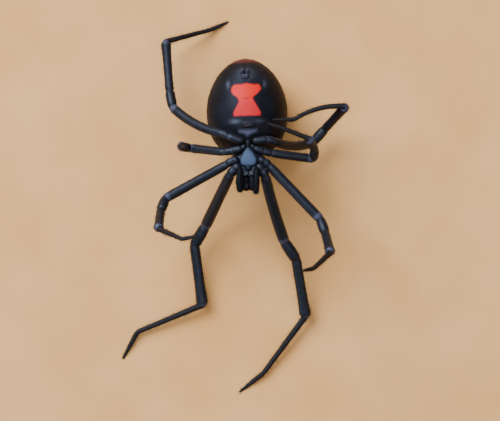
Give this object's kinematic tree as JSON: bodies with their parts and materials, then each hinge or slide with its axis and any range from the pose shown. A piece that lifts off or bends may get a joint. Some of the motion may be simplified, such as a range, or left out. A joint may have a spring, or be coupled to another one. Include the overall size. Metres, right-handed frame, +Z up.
{
  "type": "black widow spider figure",
  "caption": "Female black widow spider, life size, lying belly up with its red hourglass showing and its long jointed legs held out unevenly.",
  "frame": {"origin": "middle of the flat on the back of the abdomen, where the spider rests on the floor", "axes": "+Z up out of the belly, +Y from the head towards the spinnerets, +X towards the spider's right legs"},
  "size_m": [0.0231, 0.0367, 0.0163],
  "materials": {
    "cuticle": "glossy near-black, like lacquered shell",
    "red_mark": "glossy orange-red"
  },
  "bodies": {
    "root": {"abdomen": "cuticle", "cephalothorax": "cuticle", "chelicera_left": "cuticle", "chelicera_right": "cuticle", "pedipalp_left": "cuticle", "pedipalp_right": "cuticle", "leg_1_left_femur": "cuticle", "leg_1_left_tibia": "cuticle", "leg_1_left_foot": "cuticle", "leg_2_left_femur": "cuticle", "leg_2_left_tibia": "cuticle", "leg_2_left_foot": "cuticle", "leg_3_left_femur": "cuticle", "leg_3_left_tibia": "cuticle", "leg_3_left_foot": "cuticle", "leg_4_left_femur": "cuticle", "leg_4_left_tibia": "cuticle", "leg_4_left_foot": "cuticle", "leg_1_right_femur": "cuticle", "leg_1_right_tibia": "cuticle", "leg_1_right_foot": "cuticle", "leg_2_right_femur": "cuticle", "leg_2_right_tibia": "cuticle", "leg_2_right_foot": "cuticle", "leg_3_right_femur": "cuticle", "leg_3_right_tibia": "cuticle", "leg_3_right_foot": "cuticle", "leg_4_right_femur": "cuticle", "leg_4_right_tibia": "cuticle", "leg_4_right_foot": "cuticle", "hourglass_mark": "red_mark"}
  },
  "joints": []
}
